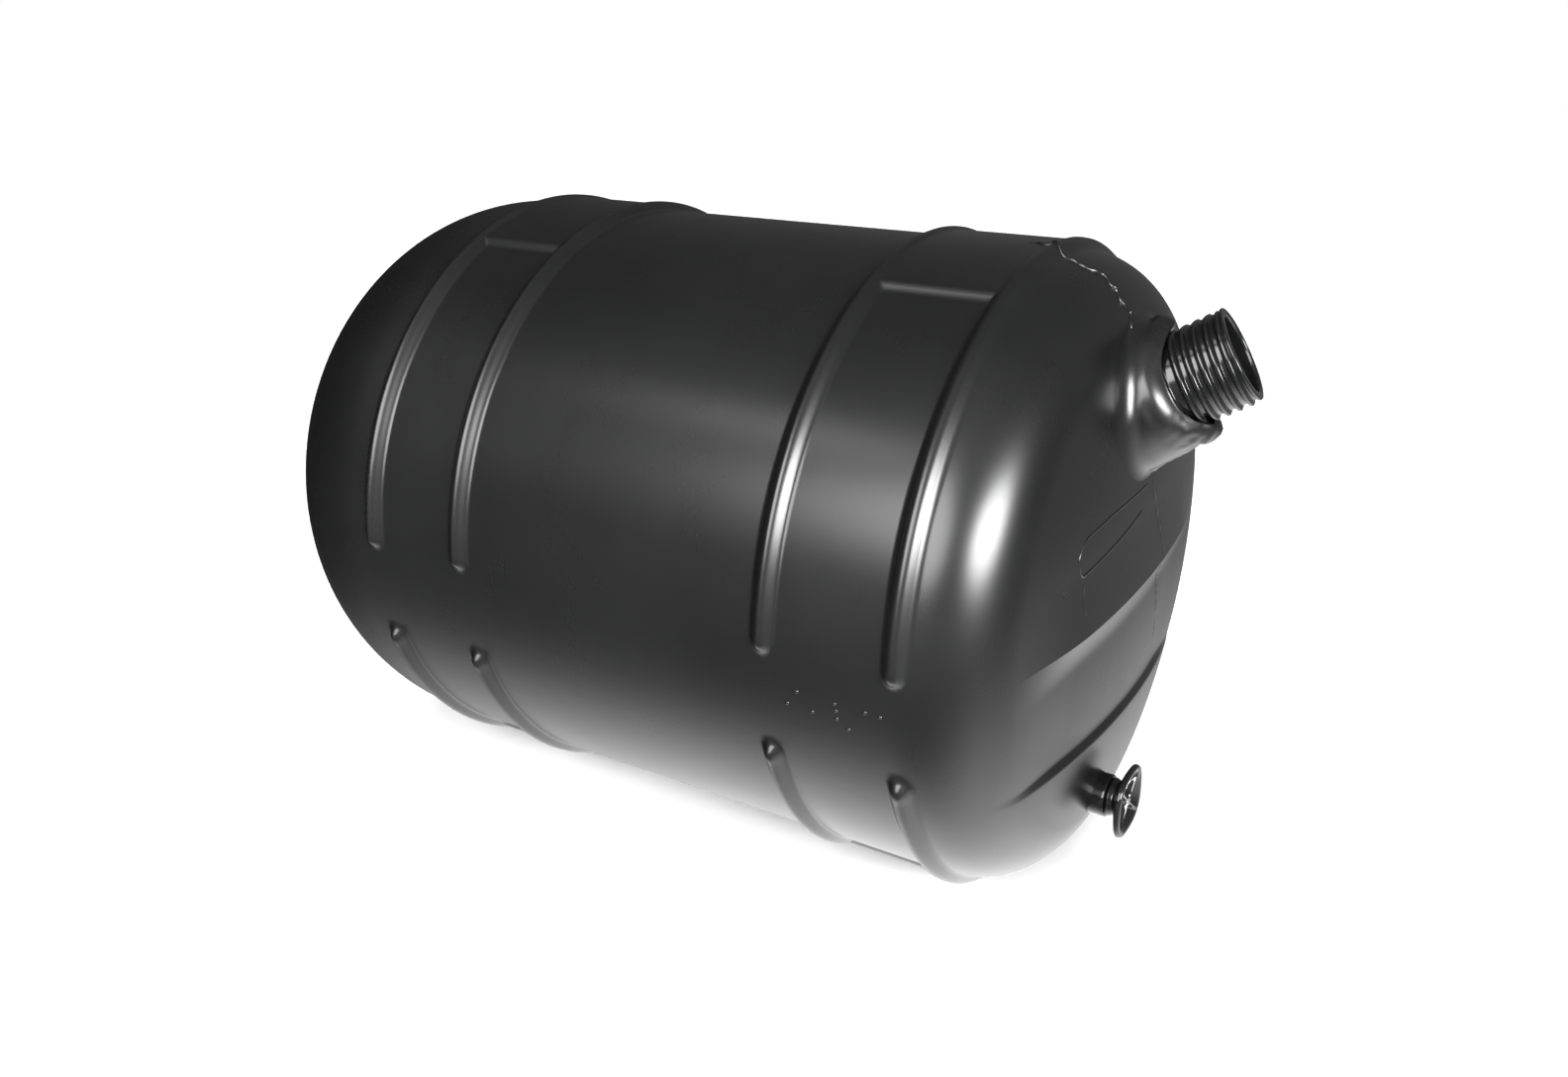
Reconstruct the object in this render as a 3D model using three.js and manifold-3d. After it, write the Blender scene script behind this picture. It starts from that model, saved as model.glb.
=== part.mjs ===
// A 70 litre fresh water tank for a food truck: a blow-moulded barrel lying on its side, with two pairs
// of ring ribs for the holding straps, a slanted threaded filler neck and a screw-down drain cock.
// Millimetres. +Z is up and +X points to the end with the filler neck. The origin is the centre of the
// bounding box's bottom face, where the two flat pads under the barrel stand.
import * as THREE from "three";
import { mergeVertices } from "three/addons/utils/BufferGeometryUtils.js";
import Module from "manifold-3d";

const wasm = await Module();
wasm.setup();

// ---- Driving dimensions ----
const HALF_LENGTH = 335.4; // half of the box along X: rear end to the filler neck's lip
const AXIS_Z = 202; // height of the barrel's axis above the flats it stands on
const RADIUS = 200; // the plain barrel
const WALL = 4;
const GAP = 0.3; // clearance between pieces that touch

const FRONT_END = { apex: 280, knuckle: 55, crown: 800, side: 1 }; // side is the way the end points along X
const REAR_END = { apex: -HALF_LENGTH, knuckle: 132, crown: 292.6, side: -1 };

const BANDS = [
  { low: -170, high: -95 }, // rear strap band: the X of its two ribs
  { low: 132.5, high: 214 }, // front strap band
];
const RIB_HEIGHT = 6;
const PAD_HEIGHT = 4; // the raised pads between a band's two ribs, on top and underneath
const RIB_HALF_WIDTH = 9;
const RIB_GAP = { from: 92.3, to: 111.2, ramp: 2.4 }; // degrees from the top where the ribs are interrupted
const PAD_HALF_ANGLE = 27; // degrees each side of the top and of the bottom
const PAD_RAMP = 3.5;

const NECK = { z: 119, tilt: 30.6, turn: 8.75, bore: 23.5, root: 27.3, crest: 30, pitch: 6.95, turns: 5 };
const NECK_INNER = 0; // distances along the neck, from where its axis meets the end: its inner end,
const NECK_SHOULDER = 17; // the foot of its threaded part
const NECK_LIP = 58.3; // and the mouth's flat lip
const NECK_HOLE = 30; // the part of the neck that the collar grips
const NECK_KEY = { radius: 32, from: 7.5, to: 11.5 }; // the ring that locks the neck in the collar
const COLLAR = { foot: -34, side: 18, mouldPlane: 31, rim: 31, round: 12, bulge: 7.5, taper: 0.1 };

const DRAIN_Z = -145; // the drain's axis, from the barrel's axis
const DRAIN_HOLE = 13; // the shell's hole for the drain
const DRAIN_HANDLE_RADIUS = 24.6;

// ---- Colours ----
const plastic = (hex, roughness) => new THREE.MeshStandardMaterial({ color: hex, roughness, metalness: 0 });
const SHELL_BLACK = plastic(0x1d1f20, 0.32);
const NECK_BLACK = plastic(0x17191a, 0.25);
const VALVE_BLACK = plastic(0x121314, 0.22);
const SEAL_RUBBER = plastic(0x1a1a1a, 0.85);
const BRASS = new THREE.MeshStandardMaterial({ color: 0xb5914a, roughness: 0.35, metalness: 1 });
const STEEL = new THREE.MeshStandardMaterial({ color: 0xb9bcc0, roughness: 0.3, metalness: 1 });

// ---- Helpers ----
const rad = THREE.MathUtils.degToRad;
const smooth = (a, b, v) => THREE.MathUtils.smoothstep(v, a, b);

// A closed BufferGeometry as a solid.
function solid(geometry) {
  const bare = geometry.clone();
  bare.deleteAttribute("normal");
  bare.deleteAttribute("uv");
  const merged = mergeVertices(bare, 1e-4);
  return new wasm.Manifold(
    new wasm.Mesh({
      numProp: 3,
      vertProperties: new Float32Array(merged.attributes.position.array),
      triVerts: new Uint32Array(merged.index.array),
    }),
  );
}

// A solid as a named mesh.
function piece(name, shape, material) {
  const mesh = shape.getMesh();
  const geometry = new THREE.BufferGeometry();
  geometry.setAttribute("position", new THREE.BufferAttribute(new Float32Array(mesh.vertProperties), 3));
  geometry.setIndex(new THREE.BufferAttribute(new Uint32Array(mesh.triVerts), 1));
  geometry.computeVertexNormals();
  const made = new THREE.Mesh(geometry, material);
  made.name = name;
  return made;
}

// A round solid from [radius, position along the axis] points, turned so that its axis is +X.
function lathe(points, segments = 32) {
  const outline = points.map(([r, x]) => new THREE.Vector2(r, x));
  const geometry = new THREE.LatheGeometry(outline, segments);
  geometry.rotateZ(-Math.PI / 2);
  return geometry;
}

// A plain cylinder along +X from x0 to x1.
const rod = (radius, x0, x1, segments = 32) =>
  solid(lathe([[0, x0], [radius, x0], [radius, x1], [0, x1]], segments));

// A flat ring along +X from x0 to x1.
const ring = (inner, outer, x0, x1, segments = 32) =>
  solid(lathe([[inner, x0], [outer, x0], [outer, x1], [inner, x1], [inner, x0]], segments));

// A closed surface through rows of points round the X axis, with a single point at each end.
function skin(first, rows, last) {
  const count = rows[0].length;
  const points = [first, ...rows.flat(), last];
  const at = (i, j) => 1 + i * count + (j % count);
  const end = points.length - 1;
  const index = [];
  for (let j = 0; j < count; j++) {
    index.push(0, at(0, j + 1), at(0, j));
    index.push(end, at(rows.length - 1, j), at(rows.length - 1, j + 1));
  }
  for (let i = 0; i + 1 < rows.length; i++) {
    for (let j = 0; j < count; j++) {
      index.push(at(i, j), at(i, j + 1), at(i + 1, j));
      index.push(at(i, j + 1), at(i + 1, j + 1), at(i + 1, j));
    }
  }
  const geometry = new THREE.BufferGeometry().setFromPoints(points);
  geometry.setIndex(index);
  return geometry;
}

// A screw thread's ridge wound round +X, running out into the root at both ends.
function ridge({ root, crest, pitch, turns, start, stepsPerTurn = 16 }) {
  const steps = Math.round(turns * stepsPerTurn);
  const points = [];
  const sink = 0.6; // how far the ridge's foot is sunk into the root
  for (let i = 0; i <= steps; i++) {
    const angle = (i / stepsPerTurn) * 2 * Math.PI;
    const x = start + (pitch * i) / stepsPerTurn;
    const runout = Math.min(1, i / 5, (steps - i) / 5);
    const top = root + Math.max(0.15, runout) * (crest - root);
    for (const [r, dx] of [[root - sink, -0.34], [top, -0.14], [top, 0.14], [root - sink, 0.34]]) {
      points.push(new THREE.Vector3(x + dx * pitch, r * Math.sin(angle), r * Math.cos(angle)));
    }
  }
  const index = [];
  for (let i = 0; i < steps; i++) {
    for (let k = 0; k < 4; k++) {
      const a = 4 * i + k;
      const b = 4 * i + ((k + 1) % 4);
      index.push(a, b, a + 4, b, b + 4, a + 4);
    }
  }
  const e = 4 * steps;
  index.push(0, 2, 1, 0, 3, 2);
  index.push(e, e + 1, e + 2, e, e + 2, e + 3);
  const geometry = new THREE.BufferGeometry().setFromPoints(points);
  geometry.setIndex(index);
  return solid(geometry);
}

// ---- The barrel's surface ----

// Stations along a torispherical end, from the pole outwards: [x, radius, the way out].
function endStations({ apex, knuckle, crown, side }, crownSteps, knuckleSteps, inset = 0) {
  const reach = Math.sqrt((crown - knuckle) ** 2 - (RADIUS - knuckle) ** 2);
  const crownX = apex - side * crown;
  const knuckleX = crownX + side * reach;
  const meet = Math.atan2(RADIUS - knuckle, reach);
  const stations = [];
  for (let i = 1; i <= crownSteps; i++) {
    const a = (meet * i) / crownSteps;
    const r = crown - inset;
    stations.push({ x: crownX + side * r * Math.cos(a), r: r * Math.sin(a) });
  }
  for (let i = 1; i <= knuckleSteps; i++) {
    const a = meet + ((Math.PI / 2 - meet) * i) / knuckleSteps;
    const r = knuckle - inset;
    stations.push({ x: knuckleX + side * r * Math.cos(a), r: RADIUS - knuckle + r * Math.sin(a) });
  }
  return stations;
}

// The barrel's plain radius, with the start of the front knuckle, where the last rib stands.
const KNUCKLE_START = endStations(FRONT_END, 1, 1)[1].x;
function plainRadius(x) {
  const { knuckle } = FRONT_END;
  const past = Math.max(0, x - KNUCKLE_START);
  return RADIUS - knuckle + Math.sqrt(knuckle ** 2 - past ** 2);
}

// How much of a rib's height stands at x, from 0 to 1.
const ribShare = (x, centre) => 1 - smooth(2, RIB_HALF_WIDTH, Math.abs(x - centre));

// The radius of the barrel's outside at x, theta degrees from the top: ribs, pads and their flats.
function outerRadius(x, theta) {
  const plain = plainRadius(x);
  const inGap = smooth(RIB_GAP.from - RIB_GAP.ramp, RIB_GAP.from, theta) *
    (1 - smooth(RIB_GAP.to, RIB_GAP.to + RIB_GAP.ramp, theta));
  const fromPole = Math.min(theta, 180 - theta);
  const onPad = 1 - smooth(PAD_HALF_ANGLE, PAD_HALF_ANGLE + PAD_RAMP, fromPole);
  let height = 0;
  for (const { low, high } of BANDS) {
    const rib = RIB_HEIGHT * (1 - inGap) * Math.max(ribShare(x, low), ribShare(x, high));
    const onBand = smooth(low - RIB_HALF_WIDTH, low - 2, x);
    const across = onBand * (1 - smooth(high + 2, high + RIB_HALF_WIDTH, x));
    height = Math.max(height, rib, PAD_HEIGHT * across * onPad);
  }
  const flat = theta > 90 ? AXIS_Z / Math.cos(rad(fromPole)) : Infinity;
  return Math.min(plain + height, flat);
}

// How far out along X the front end reaches at radius r.
function frontX(r) {
  const { apex, knuckle, crown } = FRONT_END;
  const onCrown = apex - crown + Math.sqrt(crown ** 2 - r ** 2);
  const out = Math.max(0, r - (RADIUS - knuckle));
  const onKnuckle = KNUCKLE_START + Math.sqrt(Math.max(0, knuckle ** 2 - out ** 2));
  return r < crown * (RADIUS - knuckle) / (crown - knuckle) ? onCrown : onKnuckle;
}

// The step across the front end: the end swells to a crease, drops back under it, and runs in to a groove
// along the step's foot. The crease and the foot are straight and rise slightly towards +Y.
const STEP = {
  top: 5, topSlope: 0.112, foot: -84, footSlope: 0.03, fadeFrom: 80, reach: 150,
  swell: 3.2, swellHeight: 42, ledge: 3, recess: 1.8, groove: 5,
};
function acrossEnd(section) {
  const steps = 30;
  const rows = Array.from({ length: steps + 1 }, (_, i) => {
    const y = STEP.reach * ((2 * i) / steps - 1);
    const top = STEP.top + STEP.topSlope * y;
    const foot = STEP.foot + STEP.footSlope * y;
    const share = 1 - smooth(STEP.fadeFrom, STEP.reach, Math.abs(y));
    const at = (z, height) => new THREE.Vector3(frontX(Math.hypot(y, z)) + height, y, z);
    return section({ at, top, foot, share });
  });
  const centre = (row) => row.reduce((sum, p) => sum.add(p), new THREE.Vector3()).divideScalar(row.length);
  return solid(skin(centre(rows[0]), rows, centre(rows.at(-1))));
}

const SUNK = -2; // how far the swelling's edges are sunk into the end
const endSwelling = () =>
  acrossEnd(({ at, top, share }) => {
    const height = (part) => SUNK + (STEP.swell * part - SUNK) * share;
    return [
      at(top + STEP.swellHeight, SUNK - 3), at(top + STEP.swellHeight, SUNK),
      at(top + STEP.swellHeight / 2, height(0.4)), at(top, height(1)),
      at(top - STEP.ledge, SUNK), at(top - STEP.ledge, SUNK - 3),
    ];
  });

const CLEAR = 1; // how far outside the end the recess runs out
const endRecess = () =>
  acrossEnd(({ at, top, foot, share }) => {
    const depth = (deepest) => CLEAR - (CLEAR + deepest) * share;
    const below = foot - STEP.groove;
    return [
      at(below, 5 * CLEAR), at(below, depth(-0.1)), at(foot, depth(STEP.recess)),
      at(top - STEP.ledge, depth(0.3)), at(top, 5 * CLEAR),
    ];
  });

// Columns round the barrel, in degrees from the top, closer together where the ribs and pads change.
const HALF_TURN = [
  0, 8, 16, PAD_HALF_ANGLE, PAD_HALF_ANGLE + PAD_RAMP, 39, 48, 57, 66, 75, 84,
  RIB_GAP.from - RIB_GAP.ramp, RIB_GAP.from, 101.7, RIB_GAP.to, RIB_GAP.to + RIB_GAP.ramp, 122, 131, 140,
  180 - PAD_HALF_ANGLE - PAD_RAMP, 180 - PAD_HALF_ANGLE, 164, 172, 180,
];
const COLUMNS = [
  ...HALF_TURN.map((theta) => ({ theta, side: -1 })),
  ...HALF_TURN.slice(1, -1).reverse().map((theta) => ({ theta, side: 1 })),
];
const onRing = (x, r, { theta, side }) =>
  new THREE.Vector3(x, side * r * Math.sin(rad(theta)), r * Math.cos(rad(theta)));

function barrel({ inset = 0, ribs = true, columns = COLUMNS, crownSteps = 5 }) {
  const offsets = [-RIB_HALF_WIDTH, -5, 0, 5, RIB_HALF_WIDTH];
  const ribRows = BANDS.flatMap(({ low, high }) => [low, high]).flatMap((x) => offsets.map((dx) => x + dx));
  const rear = endStations(REAR_END, 4, 6, inset);
  const front = endStations(FRONT_END, crownSteps, 7, inset).reverse();
  const middle = ribs ? ribRows : [front[0].x];
  const past = Math.max(...middle) + 1;
  const plainRow = ({ x, r }) => columns.map((column) => onRing(x, r, column));
  const rows = [
    ...rear.map(plainRow),
    ...middle.map((x) =>
      columns.map((column) => onRing(x, (ribs ? outerRadius(x, column.theta) : RADIUS) - inset, column)),
    ),
    ...front.filter(({ x }) => x > past).map(plainRow),
  ];
  const first = new THREE.Vector3(REAR_END.apex + inset, 0, 0);
  const last = new THREE.Vector3(FRONT_END.apex - inset, 0, 0);
  return solid(skin(first, rows, last));
}

// ---- Filler neck ----
// The neck is made along +X at the origin, then tilted, turned aside and stood where its axis meets the end.
const NECK_COS = Math.cos(rad(NECK.tilt)) * Math.cos(rad(NECK.turn)); // how much of its axis lies along X
const NECK_X = HALF_LENGTH - NECK_LIP * NECK_COS - (NECK.root + 0.7) * Math.sqrt(1 - NECK_COS ** 2);
const onNeck = (shape) => shape.rotate([0, -NECK.tilt, NECK.turn]).translate([NECK_X, 0, NECK.z]);

// The collar that the shell forms round the neck, solid. It reaches further up in the mould's plane.
function neckCollar() {
  const columns = Array.from({ length: 32 }, (_, i) => (i / 32) * 2 * Math.PI);
  const levels = [1, 0.75, 0.5, 0.25, 0.1, 0];
  const up = (angle) => Math.abs(Math.cos(angle)) ** 3;
  const reach = (angle) => COLLAR.side + (COLLAR.mouldPlane - COLLAR.side) * up(angle);
  const point = (along, r, angle) => new THREE.Vector3(along, -r * Math.sin(angle), r * Math.cos(angle));
  const row = (level) =>
    columns.map((angle) => {
      const depth = level * COLLAR.round;
      const r = COLLAR.rim + 3 * up(angle) * (1 - level) + COLLAR.bulge * (1 - (1 - level) ** 2.2);
      return point(reach(angle) - depth, r, angle);
    });
  const foot = columns.map((angle) =>
    point(COLLAR.foot, COLLAR.rim + COLLAR.bulge + COLLAR.taper * (reach(angle) - COLLAR.foot), angle));
  const top = columns.map((angle) => point(reach(angle), NECK.root, angle));
  const rows = [foot, ...levels.map(row), top];
  const first = new THREE.Vector3(COLLAR.foot, 0, 0);
  const last = new THREE.Vector3(COLLAR.side, 0, 0);
  return solid(skin(first, rows, last));
}

// What the neck and its key take out of the collar.
const neckHole = () =>
  rod(NECK_HOLE + GAP, -60, 60).add(rod(NECK_KEY.radius + GAP, NECK_KEY.from - GAP, NECK_KEY.to + GAP));

function fillerNeck() {
  const lipBead = NECK.root + 1.3;
  const body = solid(lathe([
    [NECK.bore, NECK_INNER], [NECK_HOLE, NECK_INNER], [NECK_HOLE, NECK_KEY.from],
    [NECK_KEY.radius, NECK_KEY.from], [NECK_KEY.radius, NECK_KEY.to], [NECK_HOLE, NECK_KEY.to],
    [NECK_HOLE, NECK_SHOULDER], [NECK.root + 1.2, NECK_SHOULDER + 0.8], [NECK.root, NECK_SHOULDER + 2],
    [NECK.root, NECK_LIP - 3], [lipBead, NECK_LIP - 2], [lipBead, NECK_LIP - 0.6],
    [NECK.root + 0.7, NECK_LIP],
    [NECK.bore + 0.4, NECK_LIP], [NECK.bore, NECK_LIP - 0.6], [NECK.bore, NECK_INNER],
  ], 32));
  return body.add(ridge({ ...NECK, start: NECK_SHOULDER + 3.6 }));
}

// ---- Drain cock ----
// Its pieces lie along +X at the drain's height, where the shell's outside is at x = 267.
const atDrain = (shape) => shape.translate([0, 0, DRAIN_Z]);
const DRAIN_PITCH = 1.75; // the spindle's thread, two turns from shut to open

// The insert welded inside the shell, with a flange that follows the shell's inside.
const drainInsert = (cavity) =>
  atDrain(ring(9.5, 20, 250, 270)).intersect(cavity).subtract(atDrain(rod(DRAIN_HOLE, 260.6, 270)));

// The valve body: a spigot through the shell into the insert, and a stub whose foot follows the shell.
const drainBody = (outside) => {
  const spigot = solid(lathe([
    [0, 248], [8.2, 248], [9.2, 249.2], [9.2, 262.8], [DRAIN_HOLE - 0.4, 262.8], [DRAIN_HOLE - 0.4, 272],
    [0, 272],
  ]));
  const stub = solid(lathe([
    [0, 256], [14, 256], [14, 275.2], [13.2, 276], [8, 276], [8, 279.6], [0, 279.6],
  ]));
  const bore = rod(5.2, 252, 281);
  const seatHole = rod(3, 247, 253);
  const port = solid(new THREE.CylinderGeometry(1.8, 1.8, 14, 16).rotateX(Math.PI / 2));
  const inner = atDrain(bore.add(seatHole).add(port.translate([271.5, 0, -9])));
  return atDrain(stub).subtract(outside).add(atDrain(spigot)).subtract(inner);
};

const drainSpindle = () => {
  const shaft = solid(lathe([
    [0, 256], [4.4, 256], [4.4, 273.9], [3.3, 273.9], [3.3, 275.7], [4.8, 275.7], [4.8, 284.8], [0, 284.8],
  ], 20));
  const winding = { pitch: DRAIN_PITCH, turns: 4, start: 257.6, stepsPerTurn: 8 };
  const thread = ridge({ root: 4.4, crest: 4.95, ...winding });
  const jumperHole = rod(1.9, 255, 262, 16);
  const screwHole = rod(1.6, 277, 286, 16);
  return shaft.add(thread).subtract(jumperHole).subtract(screwHole);
};

const oRing = (major, minor, x, segments = 24) => {
  const circle = new THREE.Path().absarc(major, x, minor, 0, 2 * Math.PI).getPoints(4);
  return solid(lathe(circle.map(({ x: r, y }) => [r, y]), segments));
};

const drainJumper = () =>
  solid(lathe([[0, 254.5], [4.5, 254.5], [4.5, 255.7], [1.6, 255.7], [1.6, 261], [0, 261]], 24));

// The handle's radius at x, angle radians from straight up: a waist, then a flare to four low lobes.
const HANDLE_LEAN = rad(-37); // how far the cross is turned from upright
function handleRadius(x, angle) {
  const hub = 13 - 1.6 * Math.sin((Math.PI * (x - 277)) / 12);
  const lobe = 0.5 + 0.5 * Math.cos(4 * (angle - HANDLE_LEAN));
  const tip = hub + (DRAIN_HANDLE_RADIUS - hub) * (0.84 + 0.16 * lobe);
  return hub + (tip - hub) * smooth(280, 286.8, x) - 1.2 * smooth(287.8, 289.5, x);
}

// The handle: a flared knob whose hollow front is crossed by four ribs.
const drainHandle = () => {
  const columns = Array.from({ length: 40 }, (_, i) => (i / 40) * 2 * Math.PI);
  const circle = (x, scale, dish = 0) =>
    columns.map((angle) => {
      const r = scale * handleRadius(Math.min(x, 289.5), angle);
      const offRib = (Math.abs(Math.sin(2 * (angle - HANDLE_LEAN))) * r) / 2;
      const hollow = smooth(0.6, 2.4, offRib);
      return new THREE.Vector3(x - dish * hollow, -r * Math.sin(angle), r * Math.cos(angle));
    });
  const rows = [
    circle(277, 1), circle(280, 1), circle(282, 1), circle(283.5, 1), circle(285, 1), circle(286.8, 1),
    circle(288.6, 1), circle(289.5, 1), circle(289.5, 0.9), circle(289.5, 0.74, 3.6),
    circle(289.3, 0.42, 4.2), circle(289.2, 0.3), circle(289.3, 0.1),
  ];
  const blank = solid(skin(new THREE.Vector3(277, 0, 0), rows, new THREE.Vector3(289.3, 0, 0)));
  const skirt = rod(8.6, 276, 280.2);
  const spindleHole = rod(5, 279, 285.1);
  const screwHole = rod(1.75, 284, 288, 16);
  const headRecess = rod(3.8, 286.5, 291, 24);
  return blank.subtract(skirt).subtract(spindleHole).subtract(screwHole).subtract(headRecess);
};

const handleScrew = () => {
  const screw = solid(lathe([
    [0, 279], [1.4, 279.4], [1.4, 286.8], [3.3, 286.8], [3.3, 287.8], [2.4, 288.6], [0, 288.8],
  ], 20));
  const slot = (a, b) => solid(new THREE.BoxGeometry(2, a, b)).translate([288.9, 0, 0]);
  return screw.subtract(slot(0.8, 4)).subtract(slot(4, 0.8));
};

// ---- Assembly ----
const insideColumns = COLUMNS.filter((column, i) => i % 2 === 0);
const cavity = (gap) => barrel({ inset: WALL + gap, ribs: false, columns: insideColumns, crownSteps: 4 });
const aroundShell = barrel({ inset: -GAP });
const shell = barrel({})
  .add(endSwelling())
  .subtract(endRecess())
  .add(onNeck(neckCollar()))
  .subtract(cavity(0))
  .subtract(onNeck(neckHole()))
  .subtract(atDrain(rod(DRAIN_HOLE, 240, 290)));

const tank = new THREE.Group();
tank.position.set(0, 0, AXIS_Z);
tank.add(
  piece("tank_shell", shell, SHELL_BLACK),
  piece("filler_neck", onNeck(fillerNeck()), NECK_BLACK),
  piece("drain_insert", drainInsert(cavity(GAP)), BRASS),
  piece("drain_body_seal", atDrain(ring(9.6, 12.4, 260.9, 262.5)), SEAL_RUBBER),
  piece("drain_valve_body", drainBody(aroundShell), VALVE_BLACK),
  piece("drain_seat_washer", atDrain(rod(4.5, 252.3, 254.2, 24)), SEAL_RUBBER),
  piece("drain_jumper", atDrain(drainJumper()), BRASS),
  piece("drain_spindle", atDrain(drainSpindle()), BRASS),
  piece("spindle_o_ring", atDrain(oRing(4.3, 0.8, 274.8)), SEAL_RUBBER),
  piece("drain_handle", atDrain(drainHandle()), VALVE_BLACK),
  piece("handle_screw", atDrain(handleScrew()), STEEL),
);

const part = new THREE.Group();
part.add(tank);
export default part;
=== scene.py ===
"""A blow-moulded fresh water tank for a food truck, on a plain pale floor.

The barrel lies along X with its front end, the filler neck and the drain towards +X. Lengths are in
metres. The shell, neck, valve body and handle are finer copies of their CAD nodes; the rest of the drain
cock's pieces are the CAD nodes themselves with better materials.
"""

import math

import bpy
import numpy as np
from mathutils import Matrix, Quaternion, Vector, noise

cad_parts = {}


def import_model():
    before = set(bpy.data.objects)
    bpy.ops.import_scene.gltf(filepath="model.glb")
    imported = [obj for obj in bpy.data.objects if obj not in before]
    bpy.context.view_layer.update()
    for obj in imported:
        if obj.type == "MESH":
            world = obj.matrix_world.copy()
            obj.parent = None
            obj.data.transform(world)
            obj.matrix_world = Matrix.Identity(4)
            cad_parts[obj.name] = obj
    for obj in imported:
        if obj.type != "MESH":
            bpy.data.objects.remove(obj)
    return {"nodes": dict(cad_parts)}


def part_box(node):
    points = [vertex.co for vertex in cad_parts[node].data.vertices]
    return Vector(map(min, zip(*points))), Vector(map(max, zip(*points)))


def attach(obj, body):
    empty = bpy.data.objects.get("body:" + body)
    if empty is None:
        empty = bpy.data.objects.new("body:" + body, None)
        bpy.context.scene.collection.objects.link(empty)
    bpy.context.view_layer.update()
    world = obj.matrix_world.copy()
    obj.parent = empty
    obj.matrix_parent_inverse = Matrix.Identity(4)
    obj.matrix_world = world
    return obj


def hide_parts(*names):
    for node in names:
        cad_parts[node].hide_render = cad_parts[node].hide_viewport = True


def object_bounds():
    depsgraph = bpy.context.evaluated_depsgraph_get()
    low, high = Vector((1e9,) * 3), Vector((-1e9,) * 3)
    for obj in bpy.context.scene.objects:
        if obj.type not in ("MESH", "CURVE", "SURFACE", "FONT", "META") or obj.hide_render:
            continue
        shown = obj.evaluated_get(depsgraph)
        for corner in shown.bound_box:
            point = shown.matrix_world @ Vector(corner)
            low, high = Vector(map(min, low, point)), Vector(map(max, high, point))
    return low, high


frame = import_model()
cad_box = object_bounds()

# ---- Driving dimensions, as in the CAD model ----
MM = 0.001
AXIS_Z = 202 * MM  # the barrel's axis above the floor
RADIUS = 200 * MM
FRONT_END = {"apex": 280 * MM, "knuckle": 55 * MM, "crown": 800 * MM, "side": 1}
REAR_END = {"apex": -335.4 * MM, "knuckle": 132 * MM, "crown": 292.6 * MM, "side": -1}
BANDS = [(-170 * MM, -95 * MM), (132.5 * MM, 214 * MM)]  # the two ribs of each strap band
RIB_HEIGHT = 5.8 * MM
RIB_HALF_WIDTH = 8.2 * MM
RIB_GAP = (92.5, 111.0)  # degrees from the top where the ribs are interrupted
PAD_HEIGHT = 3.9 * MM
PAD_HALF_ANGLE = 27.0
STEP = {"top": 5 * MM, "top_slope": 0.112, "foot": -84 * MM, "foot_slope": 0.03, "reach": 160 * MM}
STEP_SWELL = 3.2 * MM  # how far the end swells out to the crease, over STEP_RISE above it
STEP_RISE = 42 * MM
STEP_LEDGE = 22 * MM  # how far under the crease the end has dropped back
STEP_RECESS = 3.2 * MM  # how far the face under it stands in, down to its foot
STEP_GROOVE = 5 * MM  # the height of the return below the foot

NECK_TILT = math.radians(30.6)
NECK_TURN = math.radians(8.75)
NECK_LIP = 58.3 * MM
NECK_SHOULDER = 17 * MM
NECK_BORE = 23.5 * MM
NECK_ROOT = 27.3 * MM
NECK_CREST = 30 * MM
NECK_PITCH = 6.95 * MM
NECK_TURNS = 5
NECK_COS = math.cos(NECK_TILT) * math.cos(NECK_TURN)
neck_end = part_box("filler_neck")[1].x
NECK_BASE = Vector((
    neck_end - NECK_LIP * NECK_COS - (NECK_ROOT + 0.7 * MM) * math.sqrt(1 - NECK_COS**2),
    0,
    AXIS_Z + 119 * MM,
))

NECK_HOLE = 30.4  # the collar's hole round the neck, its radius in millimetres
# The collar, in millimetres: how far it reaches on its flanks and in the mould's plane, its rim's radius,
# over what length it rounds off, how much it bulges below that, and how it widens towards the end.
COLLAR = {"side": 18, "mould_plane": 31, "rim": 31, "round": 12, "bulge": 7.5, "taper": 0.1}
COLLAR_RINGS = ((-12, 1.5), (1, 1.0))  # the swellings on its flanks: where along it, and how high
COLLAR_FEET = (-45 * MM, 20 * MM)  # where along the neck the collar can meet the end

DRAIN_Z = AXIS_Z - 145 * MM
STUB_RADIUS = 14 * MM
HANDLE_RADIUS = 24.6 * MM


# ---- Mesh helpers ----
def smoothstep(a, b, v):
    t = np.clip((v - a) / (b - a), 0, 1)
    return t * t * (3 - 2 * t)


def mesh_piece(name, parts, material, body):
    """One object from a list of (points, faces), smooth shaded, riding on a CAD body."""
    points, faces, start = [], [], 0
    for part_points, part_faces in parts:
        part_points = np.asarray(part_points, float).reshape(-1, 3)
        points.append(part_points)
        faces.extend([tuple(int(i) + start for i in face) for face in part_faces])
        start += len(part_points)
    mesh = bpy.data.meshes.new(name)
    mesh.from_pydata(np.concatenate(points).tolist(), [], faces)
    mesh.validate()
    mesh.shade_smooth()
    made = bpy.data.objects.new(name, mesh)
    bpy.context.scene.collection.objects.link(made)
    made.data.materials.append(material)
    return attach(made, body)


def grid_faces(rows, columns, wrap=True, flip=False):
    """Quads over a grid of points held row by row."""
    faces = []
    for i in range(rows - 1):
        for j in range(columns if wrap else columns - 1):
            k = (j + 1) % columns
            quad = (i * columns + j, i * columns + k, (i + 1) * columns + k, (i + 1) * columns + j)
            faces.append(quad[::-1] if flip else quad)
    return faces


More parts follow.
